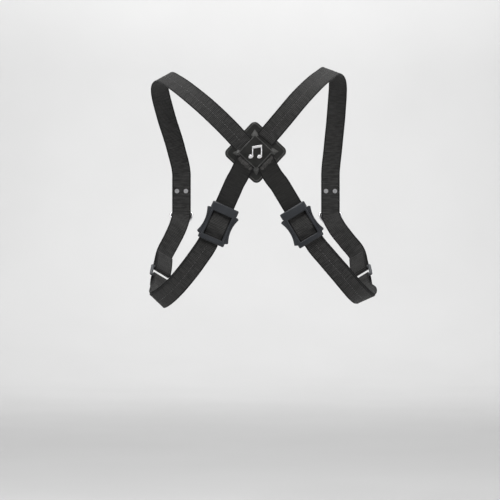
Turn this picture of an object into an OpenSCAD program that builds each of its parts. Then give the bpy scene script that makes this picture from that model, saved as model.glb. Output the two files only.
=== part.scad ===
// Back harness for a saxophone, in its worn shape. The wearer faces +Y and +Z is up.
// The origin is on the centre line, level with the tops of the shoulders.

/* [Webbing] */
// Width of all the webbing
strap_w = 25; // [20:1:40]
// Thickness of the webbing
strap_t = 1.6; // [1.2:0.1:2.4]

/* [Back patch] */
// Side of the rounded square base, which stands on its corner
patch_side = 58; // [50:1:75]
// Side of the raised cover over the crossing straps
cover_side = 31; // [26:1:40]
// Turn of the patch from upright, in degrees
patch_turn = 2; // [-5:1:5]

/* [Sliders] */
// Length of a strap slider
slider_len = 49; // [44:1:60]
// Width of a slider over its end blocks
slider_w = 35; // [34:1:44]

/* [Hidden] */
$fn = 48;
left = 0;
right = 1;
seam_gap = 0.2;

// Plan of the back: the patch centre and each slider centre as x and z, and each lower strap's lean.
// Each strap lies to the outer side in its slider.
patch_x = -1;
patch_z = -103;
slider_at = [[-47.5, -192.5], [56.5, -193.5]];
strap_lean = [24, -31];
strap_shift = [-2.2, 2.2];

// Levels along Y, from the wearer's back outward
back_y = -98.8;
back_face = back_y - strap_t / 2;
base_face = back_y + strap_t / 2 + 0.05;
base_t = 2.6;
step_t = 0.9;
liner_t = 1.6;
cover_t = 2.6;
cover_y = back_face - 0.1;

// Levels in the front, where the D-rings hang
chest_y = 97;
hang_y = 102;
bar_z = -176;
tab_x = 100;
tab_top = -138;

// The ring at the front of each armpit: centre, way along the strap, and way out from the body
ring_at = [[-125, 42, -258], [138, 42, -258]];
ring_along = [unit([-0.1, -0.68, -0.72]), unit([0.1, -0.68, -0.72])];
ring_across = [
    unit(cross(ring_along[left], [-0.62, 0.6, -0.5])),
    unit(cross(ring_along[right], [0.62, 0.6, -0.5]))
];
ring_out = [
    cross(ring_across[left], ring_along[left]),
    cross(ring_across[right], ring_along[right])
];
ring_rod = 2;
ring_half = 7;
turn_r = ring_rod + 0.3 + strap_t / 2;

function unit(v) = v / norm(v);

// Unit directions through a list of points, each weighted by the nearer neighbour.
function ways(p) = [
    for (i = [0 : len(p) - 1])
        let (a = i > 0 ? norm(p[i] - p[i - 1]) : 1)
        let (b = i < len(p) - 1 ? norm(p[i + 1] - p[i]) : 1)
        i == 0 ? unit(p[1] - p[0])
        : i == len(p) - 1 ? unit(p[i] - p[i - 1])
        : unit((p[i] - p[i - 1]) * b / a + (p[i + 1] - p[i]) * a / b)
];

function bend(p, m, q, n, t) =
    let (d = norm(q - p))
    (2 * t ^ 3 - 3 * t ^ 2 + 1) * p + (t ^ 3 - 2 * t ^ 2 + t) * d * m
    + (3 * t ^ 2 - 2 * t ^ 3) * q + (t ^ 3 - t ^ 2) * d * n;

// A smooth curve through the points, with steps pieces between neighbours.
function curve(p, steps) =
    let (m = ways(p))
    [
        for (i = [0 : len(p) - 2])
            for (k = [0 : steps - 1])
                bend(p[i], m[i], p[i + 1], m[i + 1], k / steps),
        p[len(p) - 1]
    ];

function between(n, steps) = [
    for (i = [0 : len(n) - 2])
        for (k = [0 : steps - 1])
            n[i] * (1 - k / steps) + n[i + 1] * k / steps,
    n[len(n) - 1]
];

function square_to(way, n) = unit(n - way * (n * way));

// Each run of webbing is a list of stations: a point on its middle, and the way its face looks.
function points(run) = [for (s = run) s[0]];
function faces(run) = [for (s = run) s[1]];

// The same run backward, as a second layer under the first that drifts to one side station by station.
function layer_back(run, inward, aside) =
    let (p = points(run))
    let (m = ways(p))
    [
        for (i = [len(run) - 1 : -1 : 0])
            let (n = square_to(m[i], run[i][1]))
            [p[i] - n * inward + cross(m[i], n) * aside * i, -n]
    ];

module strip(run, width, thick, steps) {
    p = curve(points(run), steps);
    m = ways(p);
    n = between(faces(run), steps);
    last = len(p) - 1;
    corners = [
        for (i = [0 : last])
            let (face = square_to(m[i], n[i]))
            let (side = cross(m[i], face))
            for (c = [[1, 1], [-1, 1], [-1, -1], [1, -1]])
                p[i] + side * c[0] * width / 2 + face * c[1] * thick / 2
    ];
    skin = [
        for (i = [0 : last - 1])
            for (k = [0 : 3])
                let (a = 4 * i + k)
                let (b = 4 * i + (k + 1) % 4)
                for (t = [[a, b, b + 4], [a, b + 4, a + 4]]) t
    ];
    z = 4 * last;
    ends = [[2, 1, 0], [3, 2, 0], [z, z + 1, z + 2], [z, z + 2, z + 3]];
    polyhedron(corners, concat(skin, ends), convexity = 8);
}

// A point on the straight part of a lower strap, d above its slider.
function on_strap(s, d) = [
    slider_at[s][0] + d * sin(strap_lean[s]) + strap_shift[s] * cos(strap_lean[s]),
    back_y,
    slider_at[s][1] + d * cos(strap_lean[s]) - strap_shift[s] * sin(strap_lean[s])
];

// A point in a ring's frame: d along the strap, h out from the body.
function by_ring(s, d, h) = ring_at[s] + d * ring_along[s] + h * ring_out[s];

// The turn round one bar of a ring, from the outer face to the inner.
function ring_turn(s, way) = [
    for (a = [0 : 30 : 180])
        let (out = cos(a) * ring_out[s] - way * sin(a) * ring_along[s])
        [by_ring(s, way * ring_half, 0) + turn_r * out, out]
];

back = [0, -1, 0];
chest = [0, 1, 0];
shoulder_run = [
    [
        [[-5, back_y, -105], back],
        [[-18, back_y, -91], back],
        [[-31, back_y, -77], back],
        [[-60, -93, -48.5], [-0.05, -0.97, 0.25]],
        [[-85, -75, -26.5], [-0.2, -0.8, 0.55]],
        [[-106, -42, -9.5], [-0.35, -0.5, 0.8]],
        [[-121, 0, -1], [-0.5, 0, 0.86]],
        [[-127, 38, -11], [-0.45, 0.4, 0.8]],
        [[-120, 72, -46], [-0.2, 0.8, 0.55]],
        [[-107, 92, -90], [-0.05, 1, 0.15]],
        [[-tab_x, chest_y, tab_top + 14], chest],
        [[-tab_x, chest_y, tab_top + 6], chest],
        [[-tab_x, chest_y, bar_z + 6], chest],
        [[-tab_x, chest_y, bar_z + 2], chest],
        [[-104, 86, -193], [-0.3, 0.9, -0.3]],
        [[-112, 79, -211], [-0.5, 0.85, -0.3]]
    ],
    [
        [[4, back_y, -95], back],
        [[18, back_y, -78.5], back],
        [[32, back_y, -62], back],
        [[53.5, -92, -36], [0.03, -0.96, 0.28]],
        [[72.5, -74, -15.5], [0.1, -0.8, 0.6]],
        [[87.5, -42, -1.5], [0.25, -0.5, 0.83]],
        [[99, 0, 7], [0.37, 0, 0.93]],
        [[107, 38, -2], [0.35, 0.4, 0.84]],
        [[107, 72, -40], [0.15, 0.8, 0.57]],
        [[103, 92, -90], [0.05, 1, 0.15]],
        [[tab_x, chest_y, tab_top + 14], chest],
        [[tab_x, chest_y, tab_top + 6], chest],
        [[tab_x, chest_y, bar_z + 6], chest],
        [[tab_x, chest_y, bar_z + 2], chest],
        [[107, 86, -193], [0.3, 0.9, -0.3]],
        [[120, 79, -211], [0.5, 0.85, -0.3]]
    ]
];
patch_end = [
    [[[-22, back_y, -132], back], [[-8, back_y, -102], back]],
    [[[21, back_y, -133], back], [[5, back_y, -104], back]]
];
under_arm = [
    [
        [[-72.5, -98.3, -235], [-0.03, -1, 0]],
        [[-85, -95, -252], [-0.15, -1, -0.05]],
        [[-106, -80, -276], [-0.5, -0.75, -0.35]],
        [[-125, -50, -290], [-0.69, 0, -0.72]],
        [[-127, -12, -283], [-0.68, 0.35, -0.62]]
    ],
    [
        [[88, -98.3, -235], [0.03, -1, 0]],
        [[103, -95, -252.5], [0.1, -1, -0.05]],
        [[126, -80, -279], [0.35, -0.75, -0.5]],
        [[138, -50, -288], [0.4, 0, -0.91]],
        [[143, -12, -283], [0.5, 0.35, -0.75]]
    ]
];
lap = strap_t + 0.3;
straight_up = 56;
straight_down = -28;

// Elastic from the patch down to a seam behind the slider, where it laps under the side strap.
function elastic_run(s) = [
    patch_end[s][1],
    patch_end[s][0],
    [on_strap(s, straight_up), back],
    [on_strap(s, straight_up - 10), back],
    [on_strap(s, 14), back],
    [on_strap(s, 8), back],
    [on_strap(s, 0) + [0, lap, 0], back],
    [on_strap(s, -14) + [0, lap, 0], back]
];

function side_outer(s) = concat(
    [for (d = [-1, straight_down + 6, straight_down]) [on_strap(s, d), back]],
    under_arm[s],
    [[by_ring(s, 20, turn_r), ring_out[s]]]
);

// The second layer comes back from the ring as far as the slider.
function side_inner(s) =
    let (outer = side_outer(s))
    let (kept = concat([[on_strap(s, -17), back]], [for (i = [1 : len(outer) - 2]) outer[i]]))
    concat([[by_ring(s, 20, -turn_r), -ring_out[s]]], layer_back(kept, lap + 0.1, s == left ? 0.4 : -0.4));

function side_run(s) = concat(side_outer(s), ring_turn(s, 1), side_inner(s));

function shoulder_full(s) = concat(
    shoulder_run[s],
    [[by_ring(s, -38, 1), ring_out[s]], [by_ring(s, -20, turn_r), ring_out[s]]],
    ring_turn(s, -1),
    [[by_ring(s, -20, -turn_r), -ring_out[s]], [by_ring(s, -36, 1 - lap), -ring_out[s]]]
);

// Draws the children on the back plane: x to the right, y up, z outward from the wearer.
module on_back(x, y, z, turn) {
    translate([x, y, z])
        rotate([90, 0, 0])
            rotate([0, 0, turn])
                children();
}

module on_patch(y) {
    on_back(patch_x, y, patch_z, patch_turn) children();
}

module rounded_square(side, r) {
    square([side - 2 * r, side], center = true);
    square([side, side - 2 * r], center = true);
    for (x = [-1, 1], y = [-1, 1])
        translate([x, y] * (side / 2 - r))
            circle(r);
}

module diamond(side, r) {
    rotate(45) rounded_square(side, r);
}

corner_r = 7;
rim_w = 2.5;
foot_in = cover_side * 0.6;
foot_out = cover_side * 0.92;
foot_w = 7;

module patch_liner() {
    color("dimgray")
        on_patch(base_face + base_t + liner_t)
            linear_extrude(liner_t) diamond(patch_side - 3, corner_r - 1.5);
}

module patch_base() {
    color("#222222")
        on_patch(base_face + base_t) {
            linear_extrude(base_t - step_t) diamond(patch_side, corner_r);
            linear_extrude(base_t) diamond(patch_side - 2 * rim_w, corner_r - rim_w);
        }
}

// The four feet reach down to the base in the gaps between the straps.
module foot_plan(grow) {
    for (a = [0 : 90 : 270])
        rotate(a)
            polygon([
                [-foot_w / 2 - grow, foot_in],
                [-foot_w / 2 - grow, foot_in + 4],
                [0, foot_out + grow],
                [foot_w / 2 + grow, foot_in + 4],
                [foot_w / 2 + grow, foot_in]
            ]);
}

module patch_cover() {
    border = 1.3;
    emblem_bed = 0.7;
    color("#2a2a2a") {
        on_patch(cover_y)
            difference() {
                linear_extrude(cover_t) diamond(cover_side, 1);
                translate([0, 0, cover_t - emblem_bed])
                    linear_extrude(cover_t) diamond(cover_side - 2 * border, 0.5);
            }
        on_patch(base_face)
            linear_extrude(base_face - cover_y + 1.4) foot_plan(0);
    }
}

// Two beamed notes.
module patch_emblem() {
    high = 0.8;
    color("silver")
        on_patch(cover_y - cover_t + 0.7)
            rotate(-patch_turn)
                linear_extrude(high) {
                    for (x = [-6, 5]) {
                        translate([x, -5.5])
                            rotate(20) scale([1.3, 1]) circle(2.3);
                        translate([x + 1.6, -5.5]) square([1.3, 12]);
                    }
                    polygon([[-4.4, 4.2], [7.9, 6.2], [7.9, 9.2], [-4.4, 7.2]]);
                }
}

// Each strap end stops at the middle lines of the patch, so that the four ends meet
// without lying over each other.
module cut_for_patch(right_side, upper) {
    reach = 60;
    deep = 14;
    x = right_side ? -reach + seam_gap / 2 : -seam_gap / 2;
    z = upper ? -reach + seam_gap / 2 : -seam_gap / 2;
    difference() {
        children();
        translate([patch_x + x, back_y - deep / 2, patch_z - reach / 2]) cube([reach, deep, reach]);
        translate([patch_x - reach / 2, back_y - deep / 2, patch_z + z]) cube([reach, deep, reach]);
        on_patch(base_face + 1) linear_extrude(deep / 2) foot_plan(0.2);
    }
}

module strap_colour() {
    color("#3a3838") children();
}

rivet_r = 1.4;
rivet_spots = [[-6, -146], [6, -146]];

module shoulder_strap(s) {
    strap_colour()
        difference() {
            cut_for_patch(s == right, true)
                strip(shoulder_full(s), strap_w, strap_t, 5);
            tab_holes(s, chest_y - strap_t, strap_t * 2);
        }
}

module tab_holes(s, y, deep) {
    for (p = rivet_spots)
        translate([(s == left ? -tab_x : tab_x) + p[0], y, p[1]])
            rotate([-90, 0, 0])
                cylinder(r = rivet_r + 0.05, h = deep);
}

module elastic(s) {
    strap_colour()
        cut_for_patch(s == right, false)
            strip(elastic_run(s), strap_w, strap_t, 5);
}

module side_strap(s) {
    strap_colour() strip(side_run(s), strap_w, strap_t, 5);
}

// Slider heights above the outer face of the strap
channel_h = 2.2;
slider_h = 6.2;
skirt_h = 1.2;
side_play = 0.7;
tunnel_w = strap_w + 2 * (abs(strap_shift[left]) + side_play);
window_w = strap_w + 0.2;
window_top = 13.4;
window_bottom = -18;
centre_bar_y = -2.6;
centre_bar_w = 5;
centre_bar_h = 2;
centre_bar_z = 1.6;
ear_x = 21.2;
ear_top = 13.9;
ear_bottom = -17.1;
grip_r = 39;
grip_deep = 3.2;

module on_slider(s) {
    on_back(slider_at[s][0], back_face, slider_at[s][1], -strap_lean[s]) children();
}

module slider_plan(inset) {
    top = slider_len / 2 - inset;
    half = slider_w / 2 - inset;
    notch = 1;
    ear = ear_x - inset;
    grip_middle = (ear_top + ear_bottom) / 2;
    difference() {
        polygon([
            [-half + notch, -top], [half - notch, -top], [half, -top + notch],
            [half, ear_bottom - 3], [half - notch, ear_bottom - 2.4],
            [ear - 1.4, ear_bottom - 2 + inset], [ear, ear_bottom],
            [ear, ear_top], [ear - 1.4, ear_top + 2 - inset],
            [half - notch, ear_top + 2.4], [half, ear_top + 3],
            [half, top - notch], [half - notch, top],
            [-half + notch, top], [-half, top - notch],
            [-half, ear_top + 3], [-half + notch, ear_top + 2.4],
            [-ear + 1.4, ear_top + 2 - inset], [-ear, ear_top],
            [-ear, ear_bottom], [-ear + 1.4, ear_bottom - 2 + inset],
            [-half + notch, ear_bottom - 2.4], [-half, ear_bottom - 3],
            [-half, -top + notch]
        ]);
        for (side = [-1, 1])
            translate([side * (ear_x - grip_deep + grip_r), grip_middle])
                circle(grip_r + inset, $fn = 180);
    }
}

module slider(s) {
    bevel = 0.8;
    rib_gap = 2.6;
    color("#35373b")
        on_slider(s) {
            difference() {
                union() {
                    translate([0, 0, -skirt_h])
                        linear_extrude(slider_h + skirt_h - bevel) slider_plan(0);
                    linear_extrude(slider_h) slider_plan(bevel);
                }
                translate([-window_w / 2, window_bottom, -slider_h])
                    cube([window_w, window_top - window_bottom, 3 * slider_h]);
                translate([-tunnel_w / 2, -slider_len, -2 * skirt_h])
                    cube([tunnel_w, 2 * slider_len, 2 * skirt_h + 0.4]);
                translate([-window_w / 2, -slider_len, 0])
                    cube([window_w, 2 * slider_len, channel_h]);
            }
            translate([-window_w / 2 - 1, centre_bar_y - centre_bar_w / 2, centre_bar_z])
                cube([window_w + 2, centre_bar_w, centre_bar_h]);
            for (side = [-1, 1], k = [-3 : 3])
                translate([side * (window_w / 2 + 2.2), centre_bar_y + 1 + k * rib_gap, slider_h - 0.3])
                    cube([1.6, 0.9, 1], center = true);
        }
}

bridge_run = [
    [-23.5, 1.15], [-17, 1.15], [-13.6, 1.7], [-11, 3.2], [-8, 4.9], [-5.2, 5.75], [-2.6, 5.85],
    [0, 5.75], [2.8, 4.9], [5.8, 3.2], [8.4, 1.7], [12, 1.15], [23, 1.15]
];

// The webbing in the window rises over the slider's centre bar and dips under both end bars.
module slider_bridge(s) {
    strap_colour()
        on_slider(s)
            strip(
                [for (p = bridge_run) [[0, p[0], p[1]], [0, 0.02 * p[0], 1]]],
                strap_w, strap_t - 0.3, 3
            );
}

// The sewn end of the side strap, wrapped round the centre bar.
module slider_loop(s) {
    wrap_t = 1;
    gap = 0.1;
    inner_h = centre_bar_h / 2 + gap;
    mid_z = centre_bar_z + centre_bar_h / 2;
    color("#333131")
        on_slider(s)
            translate([-window_w / 2 + 0.8, centre_bar_y, mid_z])
                rotate([90, 0, 90])
                    linear_extrude(window_w - 1.6)
                        difference() {
                            union() {
                                square([centre_bar_w, 2 * (inner_h + wrap_t)], center = true);
                                for (y = [-1, 1])
                                    translate([y * centre_bar_w / 2, 0])
                                        circle(inner_h + wrap_t);
                            }
                            square([centre_bar_w + 2 * gap, 2 * inner_h], center = true);
                        }
}

module in_ring(s) {
    a = ring_across[s];
    u = ring_along[s];
    n = ring_out[s];
    p = ring_at[s];
    multmatrix([
        [a[0], u[0], n[0], p[0]],
        [a[1], u[1], n[1], p[1]],
        [a[2], u[2], n[2], p[2]],
        [0, 0, 0, 1]
    ])
        children();
}

module armpit_ring(s) {
    half_w = strap_w / 2 + side_play + ring_rod;
    color("#3c3e41")
        in_ring(s)
            for (side = [-1, 1]) {
                translate([-half_w, side * ring_half, 0])
                    rotate([0, 90, 0]) cylinder(r = ring_rod, h = 2 * half_w);
                translate([side * half_w, -ring_half, 0])
                    rotate([-90, 0, 0]) cylinder(r = ring_rod, h = 2 * ring_half);
                for (end = [-1, 1])
                    translate([side * half_w, end * ring_half, 0]) sphere(r = ring_rod);
            }
}

// Short bars of close stitching across the doubled webbing near the ring.
module bar_tacks(s) {
    tack = [strap_w - 6, 1.8, 0.4];
    color("#1c1c1c")
        in_ring(s)
            for (spot = [[-30, 2.5], [20, turn_r]])
                translate([0, spot[0], spot[1] + strap_t / 2 + 0.2 + tack[2] / 2])
                    cube(tack, center = true);
}

loop_in = 2.1;
leather_t = 1.8;
loop_r = loop_in + leather_t;
d_rod = 1.7;
d_ring_r = 14;
tab_w = 22;

module tab_profile() {
    inner = chest_y + strap_t / 2 + 0.1;
    outer = inner + 2 * leather_t;
    polygon([
        [inner, tab_top], [outer - 0.8, tab_top], [outer, tab_top - 2], [outer, bar_z + 16],
        [hang_y + loop_r * 0.8, bar_z + loop_r * 0.6], [hang_y - loop_r * 0.8, bar_z + loop_r * 0.6],
        [inner, bar_z + loop_r]
    ]);
}

module along_bar(x, r, long) {
    translate([x - long / 2, hang_y, bar_z])
        rotate([0, 90, 0])
            cylinder(r = r, h = long);
}

// A leather tab folded round the bar of the D-ring and riveted to the strap.
module chest_tab(s) {
    x = s == left ? -tab_x : tab_x;
    color("#2b2624")
        difference() {
            union() {
                translate([x - tab_w / 2, 0, 0])
                    rotate([90, 0, 90])
                        linear_extrude(tab_w) tab_profile();
                along_bar(x, loop_r, tab_w);
            }
            along_bar(x, loop_in, tab_w + 2);
            tab_holes(s, chest_y, 20);
        }
}

module tab_rivets(s) {
    x = s == left ? -tab_x : tab_x;
    front = chest_y + strap_t / 2 + 0.15 + 2 * leather_t;
    rear = chest_y - strap_t / 2 - 0.05;
    cap_r = 3;
    color("silver")
        for (p = rivet_spots)
            translate([x + p[0], rear - 0.8, p[1]])
                rotate([-90, 0, 0]) {
                    cylinder(r = cap_r, h = 0.8);
                    cylinder(r = rivet_r, h = front - rear + 1);
                    translate([0, 0, front - rear + 0.8]) cylinder(r1 = cap_r, r2 = cap_r * 0.6, h = 1.1);
                }
}

module half_ring(r, rod) {
    rotate_extrude(angle = 180) translate([r, 0]) circle(rod);
}

module d_ring(s) {
    x = s == left ? -tab_x : tab_x;
    color("silver")
        translate([x, hang_y, bar_z]) {
            rotate([-90, 0, 0]) half_ring(d_ring_r, d_rod);
            translate([-d_ring_r, 0, 0]) rotate([0, 90, 0]) cylinder(r = d_rod, h = 2 * d_ring_r);
            for (side = [-1, 1])
                translate([side * d_ring_r, 0, 0]) sphere(r = d_rod);
        }
}

patch_liner();
patch_base();
patch_cover();
patch_emblem();
shoulder_strap(left);  // left_shoulder_strap
shoulder_strap(right);  // right_shoulder_strap
elastic(left);  // left_elastic
elastic(right);  // right_elastic
side_strap(left);  // left_side_strap
side_strap(right);  // right_side_strap
slider(left);  // left_slider
slider(right);  // right_slider
slider_bridge(left);  // left_slider_bridge
slider_bridge(right);  // right_slider_bridge
slider_loop(left);  // left_slider_loop
slider_loop(right);  // right_slider_loop
armpit_ring(left);  // left_armpit_ring
armpit_ring(right);  // right_armpit_ring
bar_tacks(left);  // left_bar_tacks
bar_tacks(right);  // right_bar_tacks
chest_tab(left);  // left_chest_tab
chest_tab(right);  // right_chest_tab
tab_rivets(left);  // left_tab_rivets
tab_rivets(right);  // right_tab_rivets
d_ring(left);  // left_d_ring
d_ring(right);  // right_d_ring
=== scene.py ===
"""The looks of a saxophone harness, in its worn shape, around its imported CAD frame."""

import math

import bmesh
import bpy
import numpy as np
from mathutils import Matrix, Vector


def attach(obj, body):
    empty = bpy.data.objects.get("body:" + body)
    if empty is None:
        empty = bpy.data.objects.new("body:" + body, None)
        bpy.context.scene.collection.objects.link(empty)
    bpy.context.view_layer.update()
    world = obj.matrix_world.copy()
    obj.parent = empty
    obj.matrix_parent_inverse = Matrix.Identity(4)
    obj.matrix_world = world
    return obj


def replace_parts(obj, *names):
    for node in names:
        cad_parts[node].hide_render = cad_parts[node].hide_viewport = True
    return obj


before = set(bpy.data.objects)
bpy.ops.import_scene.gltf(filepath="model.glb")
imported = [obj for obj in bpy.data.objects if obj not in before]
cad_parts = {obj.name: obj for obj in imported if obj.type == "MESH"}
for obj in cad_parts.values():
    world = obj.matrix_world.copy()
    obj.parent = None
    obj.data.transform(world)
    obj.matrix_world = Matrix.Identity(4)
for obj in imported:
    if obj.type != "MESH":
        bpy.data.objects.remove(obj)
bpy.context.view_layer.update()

LEFT, RIGHT = 0, 1
SIDES = ((LEFT, "left"), (RIGHT, "right"))

# ---- The harness's own sizes, in metres -------------------------------------------------

WIDTH = 0.025
THICK = 0.0016
BACK = -0.0988
BACK_FACE = BACK - THICK / 2
CHEST = 0.097
BAR_Z = -0.176
TAB_X = 0.1
TAB_TOP = -0.138
PATCH = (-0.001, -0.103)
PATCH_TURN = math.radians(2)
SLIDER = ((-0.0475, -0.1925), (0.0565, -0.1935))
LEAN = (math.radians(24), math.radians(-31))
SHIFT = (-0.0022, 0.0022)
LAP = THICK + 0.0003
RING_HALF = 0.007
TURN_R = 0.0031


def unit(v):
    v = np.asarray(v, float)
    return v / np.linalg.norm(v)


RING = (np.array([-0.125, 0.042, -0.258]), np.array([0.138, 0.042, -0.258]))
RING_ALONG = (unit([-0.1, -0.68, -0.72]), unit([0.1, -0.68, -0.72]))
RING_ACROSS = (
    unit(np.cross(RING_ALONG[LEFT], [-0.62, 0.6, -0.5])),
    unit(np.cross(RING_ALONG[RIGHT], [0.62, 0.6, -0.5])),
)
RING_OUT = tuple(np.cross(RING_ACROSS[s], RING_ALONG[s]) for s in (LEFT, RIGHT))

# ---- Routes of the webbing: a point on its middle, and the way its face looks ------------

AWAY = (0, -1, 0)
AHEAD = (0, 1, 0)

SHOULDER = (
    [
        ((-0.012, BACK, -0.0975), AWAY),
        ((-0.018, BACK, -0.091), AWAY),
        ((-0.031, BACK, -0.077), AWAY),
        ((-0.060, -0.093, -0.0485), (-0.05, -0.97, 0.25)),
        ((-0.085, -0.075, -0.0265), (-0.2, -0.8, 0.55)),
        ((-0.106, -0.042, -0.0095), (-0.35, -0.5, 0.8)),
        ((-0.121, 0.0, -0.001), (-0.5, 0, 0.86)),
        ((-0.127, 0.038, -0.011), (-0.45, 0.4, 0.8)),
        ((-0.120, 0.072, -0.046), (-0.2, 0.8, 0.55)),
        ((-0.107, 0.092, -0.090), (-0.05, 1, 0.15)),
        ((-TAB_X, CHEST, TAB_TOP + 0.014), AHEAD),
        ((-TAB_X, CHEST, TAB_TOP + 0.006), AHEAD),
        ((-TAB_X, CHEST, BAR_Z + 0.006), AHEAD),
        ((-TAB_X, CHEST, BAR_Z + 0.002), AHEAD),
        ((-0.104, 0.086, -0.193), (-0.3, 0.9, -0.3)),
        ((-0.112, 0.079, -0.211), (-0.5, 0.85, -0.3)),
    ],
    [
        ((0.011, BACK, -0.0868), AWAY),
        ((0.018, BACK, -0.0785), AWAY),
        ((0.032, BACK, -0.062), AWAY),
        ((0.0535, -0.092, -0.036), (0.03, -0.96, 0.28)),
        ((0.0725, -0.074, -0.0155), (0.1, -0.8, 0.6)),
        ((0.0875, -0.042, -0.0015), (0.25, -0.5, 0.83)),
        ((0.099, 0.0, 0.007), (0.37, 0, 0.93)),
        ((0.107, 0.038, -0.002), (0.35, 0.4, 0.84)),
        ((0.107, 0.072, -0.040), (0.15, 0.8, 0.57)),
        ((0.103, 0.092, -0.090), (0.05, 1, 0.15)),
        ((TAB_X, CHEST, TAB_TOP + 0.014), AHEAD),
        ((TAB_X, CHEST, TAB_TOP + 0.006), AHEAD),
        ((TAB_X, CHEST, BAR_Z + 0.006), AHEAD),
        ((TAB_X, CHEST, BAR_Z + 0.002), AHEAD),
        ((0.107, 0.086, -0.193), (0.3, 0.9, -0.3)),
        ((0.120, 0.079, -0.211), (0.5, 0.85, -0.3)),
    ],
)
PATCH_END = (
    [((-0.011, BACK, -0.108), AWAY), ((-0.022, BACK, -0.132), AWAY)],
    [((0.0095, BACK, -0.112), AWAY), ((0.021, BACK, -0.133), AWAY)],
)
UNDER_ARM = (
    [
        ((-0.0725, -0.0983, -0.235), (-0.03, -1, 0)),
        ((-0.085, -0.095, -0.252), (-0.15, -1, -0.05)),
        ((-0.106, -0.080, -0.276), (-0.5, -0.75, -0.35)),
        ((-0.125, -0.050, -0.290), (-0.69, 0, -0.72)),
        ((-0.127, -0.012, -0.283), (-0.68, 0.35, -0.62)),
    ],
    [
        ((0.088, -0.0983, -0.235), (0.03, -1, 0)),
        ((0.103, -0.095, -0.2525), (0.1, -1, -0.05)),
        ((0.126, -0.080, -0.279), (0.35, -0.75, -0.5)),
        ((0.138, -0.050, -0.288), (0.4, 0, -0.91)),
        ((0.143, -0.012, -0.283), (0.5, 0.35, -0.75)),
    ],
)


def ways(p):
    """Unit directions through a list of points, each weighted by the nearer neighbour."""
    out = []
    for i in range(len(p)):
        if i == 0:
            out.append(unit(p[1] - p[0]))
        elif i == len(p) - 1:
            out.append(unit(p[i] - p[i - 1]))
        else:
            a = np.linalg.norm(p[i] - p[i - 1])
            b = np.linalg.norm(p[i + 1] - p[i])
            out.append(unit((p[i] - p[i - 1]) * b / a + (p[i + 1] - p[i]) * a / b))
    return out


def curve(points, gap):
    """A smooth curve through the points with about gap between its own, and where each one lies
    counted in stations."""
    p = [np.asarray(v, float) for v in points]
    m = ways(p)
    out, share = [], []
    for i in range(len(p) - 1):
        d = np.linalg.norm(p[i + 1] - p[i])
        steps = max(2, math.ceil(d / gap))
        for k in range(steps):
            t = k / steps
            out.append(
                (2 * t**3 - 3 * t**2 + 1) * p[i]
                + (t**3 - 2 * t**2 + t) * d * m[i]
                + (3 * t**2 - 2 * t**3) * p[i + 1]
                + (t**3 - t**2) * d * m[i + 1]
            )
            share.append(i + t)
    return np.array(out + [p[-1]]), np.array(share + [len(p) - 1.0])


def frames(run, gap):
    """Points along a run of webbing with its direction, its face's way and its side's way."""
    points, share = curve([s[0] for s in run], gap)
    faces = np.array([s[1] for s in run], float)
    at = np.stack([np.interp(share, range(len(run)), faces[:, k]) for k in range(3)], 1)
    along = np.array(ways(list(points)))
    face = at - along * np.sum(at * along, 1, keepdims=True)
    face /= np.linalg.norm(face, axis=1, keepdims=True)
    return points, along, face, np.cross(along, face)


def on_strap(s, d):
    """A point on the straight part of a lower strap, d above its slider."""
    x, z = SLIDER[s]
    up, across = math.cos(LEAN[s]), math.sin(LEAN[s])
    return np.array([x + d * across + SHIFT[s] * up, BACK, z + d * up - SHIFT[s] * across])


def by_ring(s, d, h):
    """A point in a ring's frame: d along the strap, h out from the body."""
    return RING[s] + d * RING_ALONG[s] + h * RING_OUT[s]


def ring_turn(s, way):
    """The turn round one bar of a ring, from the outer face to the inner."""
    turn = []
    for a in np.radians(range(0, 181, 30)):
        out = math.cos(a) * RING_OUT[s] - way * math.sin(a) * RING_ALONG[s]
        turn.append((by_ring(s, way * RING_HALF, 0) + TURN_R * out, out))
    return turn


def layer_back(run, inward, aside):
    """The same run backward, as a second layer under the first that drifts to one side."""
    p = [np.asarray(s[0], float) for s in run]
    m = ways(p)
    out = []
    for i in reversed(range(len(run))):
        n = np.asarray(run[i][1], float)
        n = unit(n - m[i] * (n @ m[i]))
        out.append((p[i] - n * inward + np.cross(m[i], n) * aside * i, -n))
    return out


def elastic_run(s):
    """From the patch down to a seam behind the slider, where it laps under the side strap."""
    behind = np.array([0, LAP, 0])
    return PATCH_END[s] + [
        (on_strap(s, 0.056), AWAY),
        (on_strap(s, 0.046), AWAY),
        (on_strap(s, 0.014), AWAY),
        (on_strap(s, 0.008), AWAY),
        (on_strap(s, 0) + behind, AWAY),
        (on_strap(s, -0.014) + behind, AWAY),
    ]


def side_run(s):
    """From the slider, under the arm and round the ring, then back as a second layer."""
    outer = [(on_strap(s, d), AWAY) for d in (-0.001, -0.022, -0.028)]
    outer += UNDER_ARM[s] + [(by_ring(s, 0.02, TURN_R), RING_OUT[s])]
    kept = [(on_strap(s, -0.017), AWAY)] + outer[1:-1]
    inner = [(by_ring(s, 0.02, -TURN_R), -RING_OUT[s])]
    inner += layer_back(kept, LAP + 0.0001, 0.0004 if s == LEFT else -0.0004)
    return outer + ring_turn(s, 1) + inner


def shoulder_run(s):
    """From the patch, over the shoulder and down the chest, then round the ring."""
    out = RING_OUT[s]
    end = [(by_ring(s, -0.038, 0.001), out), (by_ring(s, -0.02, TURN_R), out)]
    end += ring_turn(s, -1)
    end += [(by_ring(s, -0.02, -TURN_R), -out), (by_ring(s, -0.036, 0.001 - LAP), -out)]
    return SHOULDER[s] + end


# ---- Materials ---------------------------------------------------------------------------


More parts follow.
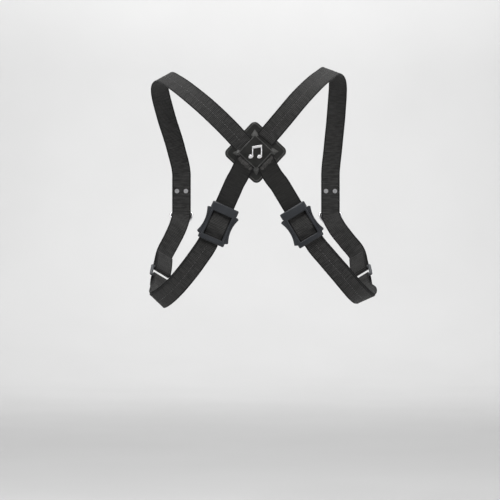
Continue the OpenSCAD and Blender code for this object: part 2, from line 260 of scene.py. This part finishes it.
class Look:
    """A material with its node tree and short ways to add to it."""

    def __init__(self, name, rough=0.6, metal=0.0, specular=0.5, sheen=0.0):
        self.material = bpy.data.materials.new(name)
        self.material.use_nodes = True
        self.tree = self.material.node_tree
        self.shader = self.tree.nodes["Principled BSDF"]
        self.shader.inputs["Roughness"].default_value = rough
        self.shader.inputs["Metallic"].default_value = metal
        self.shader.inputs["Specular IOR Level"].default_value = specular
        self.shader.inputs["Sheen Weight"].default_value = sheen
        self.shader.inputs["Sheen Roughness"].default_value = 0.5

    def node(self, kind, **inputs):
        made = self.tree.nodes.new(kind)
        for key, value in inputs.items():
            self.put(made.inputs[key.replace("_", " ")], value)
        return made

    def put(self, socket, value):
        if isinstance(value, bpy.types.NodeSocket):
            self.tree.links.new(value, socket)
        else:
            socket.default_value = value

    def maths(self, operation, a, b=0.0, c=0.0):
        made = self.tree.nodes.new("ShaderNodeMath")
        made.operation = operation
        for socket, value in zip(made.inputs, (a, b, c)):
            self.put(socket, value)
        return made.outputs[0]

    def place(self):
        return self.node("ShaderNodeTexCoord").outputs["Object"]

    def noise(self, scale, detail=3.0, where=None, rough=0.55):
        made = self.node("ShaderNodeTexNoise", Scale=scale, Detail=detail, Roughness=rough)
        self.put(made.inputs["Vector"], self.place() if where is None else where)
        return made.outputs["Fac"]

    def weave_place(self):
        """Across and along the webbing, in metres."""
        uv = self.tree.nodes.new("ShaderNodeUVMap")
        uv.uv_map = "Weave"
        split = self.node("ShaderNodeSeparateXYZ", Vector=uv.outputs["UV"])
        return uv.outputs["UV"], split.outputs["X"], split.outputs["Y"]

    def stretched(self, where, x, y):
        made = self.node("ShaderNodeMapping", Vector=where)
        made.inputs["Scale"].default_value = (x, y, 1)
        return made.outputs["Vector"]

    def spread(self, value, low, high):
        made = self.node("ShaderNodeMapRange", Value=value, From_Min=0.3, From_Max=0.7)
        made.inputs["To Min"].default_value = low
        made.inputs["To Max"].default_value = high
        return made.outputs["Result"]

    def colour(self, value, dark, light, darkest=None):
        """A blend over the middle half of value, and down to darkest at its bottom if that is given."""
        ramp = self.node("ShaderNodeValToRGB", Fac=value)
        ramp.color_ramp.elements[0].color = (*dark, 1)
        ramp.color_ramp.elements[1].color = (*light, 1)
        ramp.color_ramp.elements[0].position = 0.25
        ramp.color_ramp.elements[1].position = 0.75
        if darkest is not None:
            ramp.color_ramp.elements.new(0.0).color = (*darkest, 1)
        self.put(self.shader.inputs["Base Color"], ramp.outputs["Color"])

    def rough(self, value, low, high):
        self.put(self.shader.inputs["Roughness"], self.spread(value, low, high))

    def bump(self, height, depth, strength=1.0):
        made = self.node("ShaderNodeBump", Height=height, Distance=depth, Strength=strength)
        self.put(self.shader.inputs["Normal"], made.outputs["Normal"])


def wave(look, value, pitch, shift=0.0):
    turns = look.maths("MULTIPLY_ADD", value, 2 * math.pi / pitch, shift)
    return look.maths("SINE", turns)


def webbing_look(name, dark, light, rib, yarn, sheen=0.06):
    """Close cross ribs, broken into yarns, with fuzz, and two smooth selvedges darkened by painted shade."""
    look = Look(name, rough=0.8, specular=0.2, sheen=sheen)
    uv, across, along = look.weave_place()
    ribs = wave(look, along, rib)
    odd = look.maths("MULTIPLY", wave(look, along, 2 * rib), 2.0)
    yarns = look.maths("SINE", look.maths("MULTIPLY_ADD", across, 2 * math.pi / yarn, odd))
    woven = look.maths("MULTIPLY_ADD", yarns, 0.45, ribs)
    fuzz = look.noise(2600.0, 2.0, uv)
    height = look.maths("MULTIPLY_ADD", fuzz, 1.1, woven)
    # Painted shade: the edge mask darkens both selvedges, pulling their tone down to the near-black darkest
    # colour.
    edge = look.maths("GREATER_THAN", look.maths("ABSOLUTE", across), 0.43 * WIDTH)
    patchy = look.noise(140.0, 3.0, uv)
    streaks = look.noise(1.0, 2.0, look.stretched(uv, 60.0, 900.0))
    mixed = look.maths("MULTIPLY_ADD", streaks, 1.3, look.maths("MULTIPLY_ADD", patchy, 0.9, -0.6))
    # The tone also follows the weave's height: crests are painted lighter and hollows darker, as painted
    # light and shade.
    tone = look.maths("MULTIPLY_ADD", woven, 0.24, look.maths("MULTIPLY_ADD", edge, -0.8, mixed))
    look.colour(tone, dark, light, (0.001, 0.001, 0.001))
    look.rough(patchy, 0.62, 0.85)
    look.bump(height, 0.0003, 0.9)
    return look.material


def moulded_look(name, dark, light, low, high, grain=1800.0, depth=0.00004):
    look = Look(name, specular=0.3)
    cloudy = look.noise(60.0, 4.0)
    look.colour(cloudy, dark, light)
    look.rough(cloudy, low, high)
    look.bump(look.noise(grain, 2.0), depth, 0.8)
    return look.material


def leather_look(name, dark, light):
    look = Look(name, specular=0.4, sheen=0.05)
    cells = look.node("ShaderNodeTexVoronoi", Scale=900.0)
    look.put(cells.inputs["Vector"], look.place())
    cloudy = look.noise(90.0, 5.0)
    look.colour(cloudy, dark, light)
    look.rough(cloudy, 0.45, 0.7)
    pores = look.maths("MULTIPLY_ADD", look.noise(500.0, 3.0), 0.6, cells.outputs["Distance"])
    look.bump(pores, 0.00015, 0.7)
    return look.material


def metal_look(name, dark, light, low, high, scratch=0.00001):
    look = Look(name, metal=1.0)
    cloudy = look.noise(120.0, 4.0)
    look.colour(cloudy, dark, light)
    look.rough(look.noise(700.0, 3.0), low, high)
    look.bump(look.noise(2400.0, 2.0), scratch, 0.5)
    return look.material


def thread_look(name, dark, light):
    look = Look(name, rough=0.7, specular=0.3, sheen=0.3)
    fine = look.noise(4000.0, 2.0)
    look.colour(fine, dark, light)
    look.rough(fine, 0.55, 0.8)
    look.bump(fine, 0.00008, 0.8)
    return look.material


WEBBING = webbing_look("webbing", (0.004, 0.0039, 0.0037), (0.031, 0.0303, 0.0296), 0.0018, 0.0011)
ELASTIC = webbing_look("elastic", (0.0035, 0.0034, 0.0032), (0.016, 0.0155, 0.0147), 0.0012, 0.0008, 0.04)
# A lighter copy of the elastic: a painted highlight for the folds beside the patch cover, whose tops face the
# light.
ELASTIC_HIGHLIGHT = webbing_look("elastic_painted_highlight", (0.018, 0.0176, 0.017), (0.068, 0.066, 0.064), 0.0012, 0.0008, 0.04)
PATCH_RUBBER = moulded_look("patch_rubber", (0.005, 0.005, 0.0046), (0.011, 0.011, 0.010), 0.33, 0.46)
# A lighter, glossier copy of the patch rubber: painted highlight along the base bead and the cover border.
PATCH_EDGE_HIGHLIGHT = moulded_look("patch_edge_painted_highlight", (0.030, 0.030, 0.029), (0.044, 0.044, 0.042), 0.22, 0.32)
# A lighter copy of the patch rubber for the cover's feet: a painted highlight on their facets.
PATCH_FOOT_HIGHLIGHT = moulded_look("patch_foot_painted_highlight", (0.034, 0.034, 0.033), (0.050, 0.050, 0.048), 0.5, 0.6)
SLIDER_PLASTIC = moulded_look("slider_plastic", (0.013, 0.0142, 0.017), (0.022, 0.024, 0.0275), 0.3, 0.44)
RING_PLASTIC = moulded_look("ring_plastic", (0.040, 0.042, 0.046), (0.065, 0.068, 0.072), 0.38, 0.55)
LINER = webbing_look("liner", (0.030, 0.030, 0.030), (0.060, 0.060, 0.060), 0.0009, 0.0009, 0.5)
LEATHER = leather_look("leather", (0.012, 0.010, 0.009), (0.030, 0.026, 0.024))
BRIGHT = metal_look("bright_metal", (0.55, 0.55, 0.57), (0.80, 0.79, 0.80), 0.10, 0.22)
EMBLEM = metal_look("emblem_metal", (0.90, 0.89, 0.90), (1.0, 0.99, 1.0), 0.30, 0.42)
THREAD = thread_look("thread", (0.020, 0.019, 0.020), (0.050, 0.048, 0.050))
PALE_THREAD = thread_look("centre_thread", (0.015, 0.014, 0.014), (0.045, 0.042, 0.043))

# ---- Building pieces ---------------------------------------------------------------------


def piece(name, verts, faces, look, body, uvs=None, smooth=True):
    mesh = bpy.data.meshes.new(name)
    mesh.from_pydata([tuple(v) for v in verts], [], faces)
    mesh.materials.append(look)
    mesh.polygons.foreach_set("use_smooth", [smooth] * len(mesh.polygons))
    if uvs is not None:
        layer = mesh.uv_layers.new(name="Weave")
        corners = np.empty(len(mesh.loops), int)
        mesh.loops.foreach_get("vertex_index", corners)
        layer.data.foreach_set("uv", np.asarray(uvs, float)[corners].ravel())
    mesh.update()
    obj = bpy.data.objects.new(name, mesh)
    bpy.context.scene.collection.objects.link(obj)
    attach(obj, body)
    return obj


# The cross section of a band. HALF is the left half of its outer face: shares of the width across
# and of the thickness up, with the beaded edge first and the groove last.
HALF = (
    (-0.5, 0.0), (-0.494, 0.30), (-0.478, 0.45), (-0.455, 0.5), (-0.43, 0.46), (-0.415, 0.40),
    (-0.3, 0.41), (-0.15, 0.42), (-0.04, 0.42), (-0.015, 0.37),
)
TOP = HALF + tuple((-a, h) for a, h in reversed(HALF))
SECTION = np.array(TOP + tuple((a, -h) for a, h in reversed(TOP[1:-1])))


def tube_faces(rings, sides):
    faces = []
    for i in range(rings - 1):
        for k in range(sides):
            a, b = i * sides + k, i * sides + (k + 1) % sides
            faces.append((a, b, b + sides, a + sides))
    faces.append(tuple(reversed(range(sides))))
    faces.append(tuple(range((rings - 1) * sides, rings * sides)))
    return faces


def band(name, run, look, body, nodes, width=WIDTH, thick=THICK, gap=0.002, raise_by=None):
    """A length of webbing with beaded edges and a shallow groove along its middle."""
    points, along, face, side = frames(run, gap)
    reach = np.concatenate([[0], np.cumsum(np.linalg.norm(np.diff(points, axis=0), axis=1))])
    verts, uvs = [], []
    for i, p in enumerate(points):
        for a, h in SECTION:
            lift = raise_by(reach[i], a) if raise_by else 0.0
            verts.append(p + side[i] * a * width + face[i] * (h * thick + lift))
            uvs.append((a * width, reach[i]))
    obj = piece(name, verts, tube_faces(len(points), len(SECTION)), look, body, uvs)
    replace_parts(obj, *nodes)
    return obj


def grain(at, along, face, length, radius):
    """One stitch: a small low capsule lying along the surface."""
    side = np.cross(along, face)
    ends = ((-0.5, 0.0), (-0.42, 0.7), (-0.2, 1.0), (0.2, 1.0), (0.42, 0.7), (0.5, 0.0))
    verts = []
    for t, r in ends:
        for k in range(6):
            angle = math.pi * k / 3
            ring = side * math.cos(angle) + face * math.sin(angle) * 0.75
            verts.append(at + along * t * length + ring * radius * max(r, 0.12))
    return verts, tube_faces(len(ends), 6)


def stitches(name, spots, look, body, length=0.0026, radius=0.0003):
    """Many stitches as one piece. Each spot is a point, the stitch's way and the face's way."""
    verts, faces = [], []
    for at, along, face in spots:
        v, f = grain(np.asarray(at), np.asarray(along), np.asarray(face), length, radius)
        faces += [tuple(i + len(verts) for i in one) for one in f]
        verts += v
    return piece(name, verts, faces, look, body)


def centre_line(name, run, body, first, last, pitch=0.0042):
    """Stitches in the groove along the middle of a run, between two distances along it."""
    points, along, face, _ = frames(run, 0.001)
    reach = np.concatenate([[0], np.cumsum(np.linalg.norm(np.diff(points, axis=0), axis=1))])
    spots = []
    for d in np.arange(first, min(last, reach[-1]), pitch):
        i = int(np.searchsorted(reach, d))
        spots.append((points[i] + face[i] * THICK * 0.44, along[i], face[i]))
    return stitches(name, spots, PALE_THREAD, body, 0.0024, 0.00032)


def plate(name, outlines, thick, edge, look, body, place, resolution=3):
    """A flat shape with rounded edges. Its first outline is the outside and any others are holes."""
    made = bpy.data.curves.new(name, "CURVE")
    made.dimensions = "2D"
    made.fill_mode = "BOTH"
    made.extrude = thick / 2 - edge
    made.bevel_depth = edge
    made.bevel_resolution = resolution
    made.offset = -edge
    for outline in outlines:
        spline = made.splines.new("POLY")
        spline.points.add(len(outline) - 1)
        for point, (x, y) in zip(spline.points, outline):
            point.co = (x, y, 0, 1)
        spline.use_cyclic_u = True
    shape = bpy.data.objects.new(name + "_outline", made)
    bpy.context.scene.collection.objects.link(shape)
    bpy.context.view_layer.update()
    depsgraph = bpy.context.evaluated_depsgraph_get()
    mesh = bpy.data.meshes.new_from_object(shape.evaluated_get(depsgraph), depsgraph=depsgraph)
    bpy.data.objects.remove(shape)
    bpy.data.curves.remove(made)
    mesh.transform(place @ Matrix.Translation((0, 0, thick / 2)))
    mesh.name = name
    mesh.materials.clear()
    mesh.materials.append(look)
    weld = bmesh.new()
    weld.from_mesh(mesh)
    bmesh.ops.remove_doubles(weld, verts=weld.verts, dist=0.00001)
    bmesh.ops.recalc_face_normals(weld, faces=weld.faces)
    weld.to_mesh(mesh)
    weld.free()
    layer = mesh.uv_layers.get("UVMap") or mesh.uv_layers.new(name="UVMap")
    layer.name = "Weave"
    back = place.inverted()
    for loop in mesh.loops:
        at = back @ mesh.vertices[loop.vertex_index].co
        layer.data[loop.index].uv = (at.x, at.y)
    obj = bpy.data.objects.new(name, mesh)
    bpy.context.scene.collection.objects.link(obj)
    for polygon in mesh.polygons:
        polygon.use_smooth = True
    mesh.set_sharp_from_angle(angle=math.radians(35))
    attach(obj, body)
    return obj


def join(name, parts):
    """Several pieces of one body as one piece, which keeps the first one's place and finish."""
    bpy.ops.object.select_all(action="DESELECT")
    for part in parts:
        part.select_set(True)
    bpy.context.view_layer.objects.active = parts[0]
    bpy.ops.object.join()
    parts[0].name = name
    parts[0].data.name = name
    return parts[0]


def on_back(x, y, z, turn):
    """From a flat drawing, x to the right and y up, to the back plane: its z looks away from the wearer."""
    return (
        Matrix.Translation((x, y, z))
        @ Matrix.Rotation(math.radians(90), 4, "X")
        @ Matrix.Rotation(turn, 4, "Z")
    )


def on_patch(y):
    return on_back(PATCH[0], y, PATCH[1], PATCH_TURN)


def rounded(corners, r, steps=6):
    """An outline with its corners rounded."""
    out = []
    count = len(corners)
    for i in range(count):
        here = np.array(corners[i], float)
        back = unit(np.array(corners[i - 1], float) - here)
        on = unit(np.array(corners[(i + 1) % count], float) - here)
        half = math.acos(float(np.clip(back @ on, -1, 1))) / 2
        reach = r / math.tan(half)
        centre = here + unit(back + on) * r / math.sin(half)
        a = here + back * reach - centre
        b = here + on * reach - centre
        for k in range(steps + 1):
            t = k / steps
            spot = unit(a * (1 - t) + b * t)
            out.append(tuple(centre + spot * r))
    return out


def diamond(side, r, steps=6):
    d = side / math.sqrt(2)
    return rounded([(0, d), (-d, 0), (0, -d), (d, 0)], r, steps)


def paint(look, *nodes):
    for node in nodes:
        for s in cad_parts[node].material_slots:
            s.link = "OBJECT"
            s.material = look


# ---- Webbing -------------------------------------------------------------------------------


def pucker(s):
    """The low swell of a lower strap below the slanting edge of the patch cover."""
    start, slant = ((0.0052, -0.0093), (0.0018, 0.0073))[s]

    def lift(reach, across):
        below_edge = reach - start - slant * across
        swell = math.exp(-(((below_edge - 0.004) / 0.006) ** 2))
        return 0.0010 * swell * (0.8 + 0.2 * math.cos(across * 14))

    return lift


elastics = []
for s, side in SIDES:
    band(
        side + "_shoulder_webbing", shoulder_run(s), WEBBING, "harness",
        [side + "_shoulder_strap"],
    )
    elastics.append(
        band(
            side + "_elastic_webbing", elastic_run(s), ELASTIC, "harness",
            [side + "_elastic"], gap=0.0008, raise_by=pucker(s),
        )
    )
    band(side + "_side_webbing", side_run(s), WEBBING, "harness", [side + "_side_strap"])
    centre_line(side + "_shoulder_centre_line", shoulder_run(s), "harness", 0.014, 0.47)
    centre_line(side + "_side_centre_line", side_run(s), "harness", 0.03, 0.165)


# ---- Bar tacks -------------------------------------------------------------------------------


def tack_spots(centre, along, across, face, width, rows=3, pitch=0.0009):
    spots = []
    count = int(width / pitch)
    for r in range(rows):
        for k in range(count):
            x = (k - (count - 1) / 2) * pitch
            spots.append((centre + across * x + along * (r - (rows - 1) / 2) * 0.0007, along, face))
    return spots


for s, side in SIDES:
    spots = []
    for d, h in ((-0.030, 0.0025), (0.02, TURN_R)):
        middle = by_ring(s, d, h + THICK * 0.5)
        spots += tack_spots(middle, RING_ALONG[s], RING_ACROSS[s], RING_OUT[s], WIDTH - 0.006)
    tack = stitches(side + "_ring_tacks", spots, THREAD, "harness", 0.0017, 0.0003)
    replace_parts(tack, side + "_bar_tacks")

# ---- Sliders ---------------------------------------------------------------------------------

SLIDER_LEN = 0.049
SLIDER_W = 0.035
CHANNEL = 0.0022
SLIDER_H = 0.0062
SKIRT = 0.0012
WINDOW = (0.0126, 0.0134, -0.018)
BAR_Y = -0.0026
EAR_X = 0.0212
GRIP_R = 0.039
GRIP_DEEP = 0.0032
SIDE_PLAY = 0.0007
TUNNEL = WIDTH / 2 + abs(SHIFT[LEFT]) + SIDE_PLAY


def mirrored(half):
    """A closed outline from its right-hand half, drawn from bottom to top."""
    return list(half) + [(-x, y) for x, y in reversed(half)]


def grip_x(y):
    """Half the slider's width at a height on its hollow grips."""
    return EAR_X - GRIP_DEEP + GRIP_R - math.sqrt(GRIP_R**2 - (y + 0.0016) ** 2)


def slider_outline(inset=0.0):
    top = SLIDER_LEN / 2 - inset
    half = SLIDER_W / 2 - inset
    ear = EAR_X - inset
    right = [
        (half - 0.001, -top), (half, -top + 0.001), (half, -0.0201), (half - 0.001, -0.0195),
        (ear - 0.0014, -0.0191 + inset), (ear, -0.0177),
    ]
    for y in np.linspace(-0.0165, 0.0133, 15):
        right.append((grip_x(y) - inset, y))
    right += [
        (ear, 0.0145), (ear - 0.0014, 0.0159 - inset), (half - 0.001, 0.0163), (half, 0.0169),
        (half, top - 0.001), (half - 0.001, top),
    ]
    return mirrored(right)


def window_outline():
    x, top, bottom = WINDOW
    return rounded([(x, bottom), (x, top), (-x, top), (-x, bottom)], 0.0006, 3)


def rim_outline():
    return mirrored([
        (0.0158, -0.0236), (0.0164, -0.0230), (0.0164, -0.0198), (0.0152, -0.0190),
        (0.0152, 0.0150), (0.0164, 0.0158), (0.0164, 0.0230), (0.0158, 0.0236),
    ])


def skirt_outline(way):
    """The wall beside the strap, on the right for way 1 and on the left for way -1."""
    whole = slider_outline()
    right = whole[: len(whole) // 2]
    outline = [(TUNNEL, right[0][1])] + right + [(TUNNEL, right[-1][1])]
    return [(way * x, y) for x, y in outline][::way]


def rib_outline(way, y):
    """A fine rib on a grip, or None where the grip is too narrow for one."""
    outer, inner, half = grip_x(y) - 0.0003, 0.0160, 0.0005
    if outer - inner < 0.0006:
        return None
    rib = rounded([(outer, y - half), (outer, y + half), (inner, y + half), (inner, y - half)], 0.0003, 2)
    return [(way * a, b) for a, b in rib][::way]


BRIDGE = (
    (-0.0235, 0.00115), (-0.017, 0.00115), (-0.0136, 0.0017), (-0.011, 0.0032), (-0.008, 0.0049),
    (-0.0052, 0.00575), (-0.0026, 0.00585), (0, 0.00575), (0.0028, 0.0049), (0.0058, 0.0032),
    (0.0084, 0.0017), (0.012, 0.00115), (0.023, 0.00115),
)


def loop_stations():
    """Once round the centre bar: height up the slider, height off the strap, and the face's way."""
    out = []
    for way in (-1, 1):
        for a in np.radians(range(-90, 91, 30)):
            y, w = way * math.cos(a), way * math.sin(a)
            out.append((BAR_Y + way * 0.0025 + 0.0016 * y, 0.0026 + 0.0016 * w, y, w))
    return out


def slider_piece(s, side):
    body = side + "_slider_unit"

    def at(w):
        return on_back(SLIDER[s][0], BACK_FACE - w, SLIDER[s][1], -LEAN[s])

    def mould(name, outlines, thick, edge, w, resolution=3):
        return plate(
            name, outlines, thick, edge, SLIDER_PLASTIC, body, at(w), resolution
        )

    parts = [
        mould("slider_frame", [slider_outline(), window_outline()], 0.0032, 0.0010, CHANNEL),
        mould("slider_rim", [rim_outline(), window_outline()], 0.0018, 0.0008, SLIDER_H - 0.0018),
    ]
    for way in (-1, 1):
        parts.append(mould("slider_skirt", [skirt_outline(way)], CHANNEL + SKIRT + 0.001, 0.0006, -SKIRT))
        for k in range(-5, 6):
            rib = rib_outline(way, -0.0016 + k * 0.0021)
            if rib:
                parts.append(mould("slider_rib", [rib], 0.001, 0.0002, CHANNEL + 0.0029, 1))
    x, y = 0.0138, 0.0025
    bar = rounded([(x, BAR_Y - y), (x, BAR_Y + y), (-x, BAR_Y + y), (-x, BAR_Y - y)], 0.0004, 2)
    parts.append(mould("slider_bar", [bar], 0.002, 0.0006, 0.0016))
    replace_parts(join(side + "_slider_moulding", parts), side + "_slider")

    flat = at(0)
    turn = np.array(flat.to_3x3())

    def station(y, w, face_y, face_w):
        return np.array(flat @ Vector((0, y, w))), turn @ np.array([0, face_y, face_w])

    run = [station(y, w, 20 * y, 1) for y, w in BRIDGE]
    band(
        side + "_bridge_webbing", run, WEBBING, body, [side + "_slider_bridge"],
        width=0.0252, thick=0.0013, gap=0.001,
    )
    run = [station(*spot) for spot in loop_stations()]
    band(
        side + "_loop_webbing", run + run[:1], WEBBING, body, [side + "_slider_loop"],
        width=0.0236, thick=0.001, gap=0.0008,
    )


for s, side in SIDES:
    slider_piece(s, side)

# ---- The back patch ----------------------------------------------------------------------------

PATCH_SIDE = 0.058
CORNER_R = 0.007
RIM_W = 0.0025
LINER_T = 0.0016
BASE_T = 0.0026
BASE_FACE = BACK + THICK / 2 + 0.00005
COVER_Y = BACK_FACE - 0.0001


def patch_plate(name, outlines, thick, edge, look, y):
    return plate(name, outlines, thick, edge, look, "harness", on_patch(y))


pad = [diamond(PATCH_SIDE - 0.003, CORNER_R - 0.0015)]
liner = patch_plate("liner_pad", pad, LINER_T, 0.0006, LINER, BASE_FACE + BASE_T + LINER_T)
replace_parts(liner, "patch_liner")

rim = [diamond(PATCH_SIDE, CORNER_R, 10)]
middle_part = [diamond(PATCH_SIDE - 2 * RIM_W, CORNER_R - RIM_W, 10)]
bead = [diamond(0.0544, 0.0052, 10), diamond(0.0516, 0.0038, 10)]
base = join(
    "patch_base_moulding",
    [
        patch_plate("base_rim", rim, 0.002, 0.00099, PATCH_RUBBER, BASE_FACE + BASE_T),
        patch_plate("base_middle", middle_part, 0.0016, 0.0006, PATCH_RUBBER, BASE_FACE + 0.0016),
        # The bead is painted lighter, a painted highlight line along the base.
        patch_plate("base_bead", bead, 0.0014, 0.00055, PATCH_EDGE_HIGHLIGHT, BASE_FACE + 0.0009),
    ],
)
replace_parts(base, "patch_base")

COVER_SIDE = 0.031
border = [diamond(COVER_SIDE + 0.0002, 0.001), diamond(COVER_SIDE - 0.0028, 0.0004)]
cover_parts = [
    patch_plate("cover_plate", [diamond(COVER_SIDE, 0.001)], 0.0022, 0.0005, PATCH_RUBBER, COVER_Y),
    # The border is painted lighter, a painted highlight line round the cover.
    patch_plate("cover_border", border, 0.0018, 0.0007, PATCH_EDGE_HIGHLIGHT, COVER_Y - 0.0012),
]


def foot_piece(turned):
    """A foot of the cover, with a ridge that falls from the cover's corner to the foot's tip."""
    low = [(-0.0046, 0.0200), (0.0046, 0.0200), (0.0046, 0.0226), (0, 0.0288), (-0.0046, 0.0226)]
    high = [(-0.0034, 0.0200), (0.0034, 0.0200), (0.0030, 0.0226), (0, 0.0266), (-0.0030, 0.0226)]
    drops = (0.0030, 0.0030, 0.0026, 0.0014, 0.0026)
    ridge = [(0, 0.0200, 0.0042), (0, 0.0232, 0.0038)]
    spots = [(x, y, 0) for x, y in low] + [(x, y, z) for (x, y), z in zip(high, drops)] + ridge
    faces = [(4, 3, 2, 1, 0)] + [(k, (k + 1) % 5, 5 + (k + 1) % 5, 5 + k) for k in range(5)]
    faces += [(5, 6, 10), (6, 7, 11, 10), (7, 8, 11), (8, 9, 11), (9, 5, 10, 11)]
    verts = [turned @ Vector(v) for v in spots]
    # The foot wears the lighter rubber, a painted highlight on its facets.
    return piece("cover_foot", verts, faces, PATCH_FOOT_HIGHLIGHT, "harness", None, False)


for k in range(4):
    turned = on_patch(BASE_FACE) @ Matrix.Rotation(k * math.pi / 2, 4, "Z")
    cover_parts.append(foot_piece(turned))
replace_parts(join("patch_cover_moulding", cover_parts), "patch_cover")


def gathered_fold(s):
    """The lower strap's puffed fold along the cover's slanting lower edge, with creases across it."""
    way = (-1, 1)[s]
    start = np.array([way * 0.0190, -0.0029])
    end = np.array([way * 0.0026, -0.0193])
    along = unit(end - start)
    out = np.array([way * 0.707, -0.707])
    place = on_patch(BACK_FACE)
    verts, uvs = [], []
    steps, sides = 40, 14
    high, half_wide, long = 0.0034, 0.0028, 0.023
    for i in range(steps + 1):
        t = i / steps
        swell = math.sin(math.pi * t) ** 0.4
        for crease, deep in ((0.24, 0.35), (0.52, 0.25), (0.80, 0.45)):
            swell *= 1 - deep * math.exp(-(((t - crease) / 0.045) ** 2))
        for u in np.linspace(-1.3, 2.4, sides):
            x, y = start + (end - start) * t + out * (0.0029 + half_wide * u)
            z = high * swell * math.exp(-(u / (0.8 if u < 0 else 1.1)) ** 2) - 0.0002
            verts.append(place @ Vector((x, y, z)))
            uvs.append((half_wide * u, t * long))
    # The fold wears the lighter elastic, a painted highlight on its up-facing swell.
    return piece("gathered_fold", verts, tube_faces(steps + 1, sides), ELASTIC_HIGHLIGHT, "harness", uvs)


for s, side in SIDES:
    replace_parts(join(side + "_elastic_webbing", [elastics[s], gathered_fold(s)]), side + "_elastic")


def ellipse(x, y, a, b, tilt, steps=20):
    out = []
    for k in range(steps):
        t = 2 * math.pi * k / steps
        u, v = a * math.cos(t), b * math.sin(t)
        out.append((x + u * math.cos(tilt) - v * math.sin(tilt), y + u * math.sin(tilt) + v * math.cos(tilt)))
    return out


emblem_at = on_back(PATCH[0], COVER_Y - 0.0022, PATCH[1], 0)
notes = []
for x in (-0.006, 0.005):
    notes.append([ellipse(x, -0.0055, 0.003, 0.0022, math.radians(20))])
    notes.append([[(x + 0.0016, -0.0055), (x + 0.0029, -0.0055), (x + 0.0029, 0.0065), (x + 0.0016, 0.0065)]])
notes.append([[(-0.0044, 0.0042), (0.0079, 0.0062), (0.0079, 0.0092), (-0.0044, 0.0072)]])
emblem = join(
    "patch_notes",
    [plate("note", n, 0.0010, 0.00035, EMBLEM, "harness", emblem_at) for n in notes],
)
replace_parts(emblem, "patch_emblem")

# ---- Metal, plastic and leather that keep their CAD shapes ---------------------------------------

paint(RING_PLASTIC, "left_armpit_ring", "right_armpit_ring")
paint(LEATHER, "left_chest_tab", "right_chest_tab")
paint(BRIGHT, "left_tab_rivets", "right_tab_rivets", "left_d_ring", "right_d_ring")

# ---- Stage, lights and camera --------------------------------------------------------------------


def stage_sheet():
    """A pale floor that curves up into a backdrop."""
    look = Look("pale_stage", rough=0.9, specular=0.1)
    look.colour(look.noise(3.0, 2.0), (0.50, 0.50, 0.50), (0.52, 0.52, 0.52))
    floor_z, wall_y, bend_r = -0.62, 4.4, 1.0
    profile = [(-5.0, floor_z), (wall_y - bend_r, floor_z)]
    for a in np.radians(range(10, 91, 10)):
        profile.append((wall_y - bend_r + bend_r * math.sin(a), floor_z + bend_r * (1 - math.cos(a))))
    profile.append((wall_y, 4.0))
    verts = [(x, y, z) for y, z in profile for x in (-6.0, 6.0)]
    faces = [(2 * i, 2 * i + 1, 2 * i + 3, 2 * i + 2) for i in range(len(profile) - 1)]
    mesh = bpy.data.meshes.new("stage")
    mesh.from_pydata(verts, [], faces)
    mesh.materials.append(look.material)
    mesh.polygons.foreach_set("use_smooth", [True] * len(faces))
    obj = bpy.data.objects.new("stage", mesh)
    bpy.context.scene.collection.objects.link(obj)


def area_light(name, at, target, size, watts):
    data = bpy.data.lights.new(name, "AREA")
    data.shape = "RECTANGLE"
    data.size, data.size_y = size
    data.energy = watts
    obj = bpy.data.objects.new(name, data)
    obj.location = at
    obj.rotation_euler = (Vector(target) - Vector(at)).to_track_quat("-Z", "Y").to_euler()
    bpy.context.scene.collection.objects.link(obj)


stage_sheet()
middle = (0.0, 0.0, -0.18)
area_light("key", (-0.7, -1.5, 1.5), middle, (0.7, 0.7), 38)
area_light("fill", (1.6, -1.4, 0.3), middle, (1.0, 1.2), 18)
area_light("top", (0.0, -0.1, 1.5), middle, (1.0, 0.8), 24)
area_light("left_edge", (-1.6, -0.6, -0.5), middle, (0.6, 1.4), 15)
area_light("right_edge", (1.6, -0.6, -0.5), middle, (0.6, 1.4), 10)
area_light("backdrop", (0.0, 3.0, 1.8), (0.0, 4.4, -0.1), (3.0, 0.8), 70)

world = bpy.data.worlds.new("studio")
world.use_nodes = True
world.node_tree.nodes["Background"].inputs["Color"].default_value = (1, 1, 1, 1)
world.node_tree.nodes["Background"].inputs["Strength"].default_value = 0.42
bpy.context.scene.world = world
bpy.context.scene.view_settings.view_transform = "Standard"

camera_data = bpy.data.cameras.new("camera")
camera_data.lens = 150
camera = bpy.data.objects.new("camera", camera_data)
camera.location = (-0.008, -2.70, -0.225)
camera.rotation_euler = (math.radians(90), 0, 0)
bpy.context.scene.collection.objects.link(camera)
bpy.context.scene.camera = camera
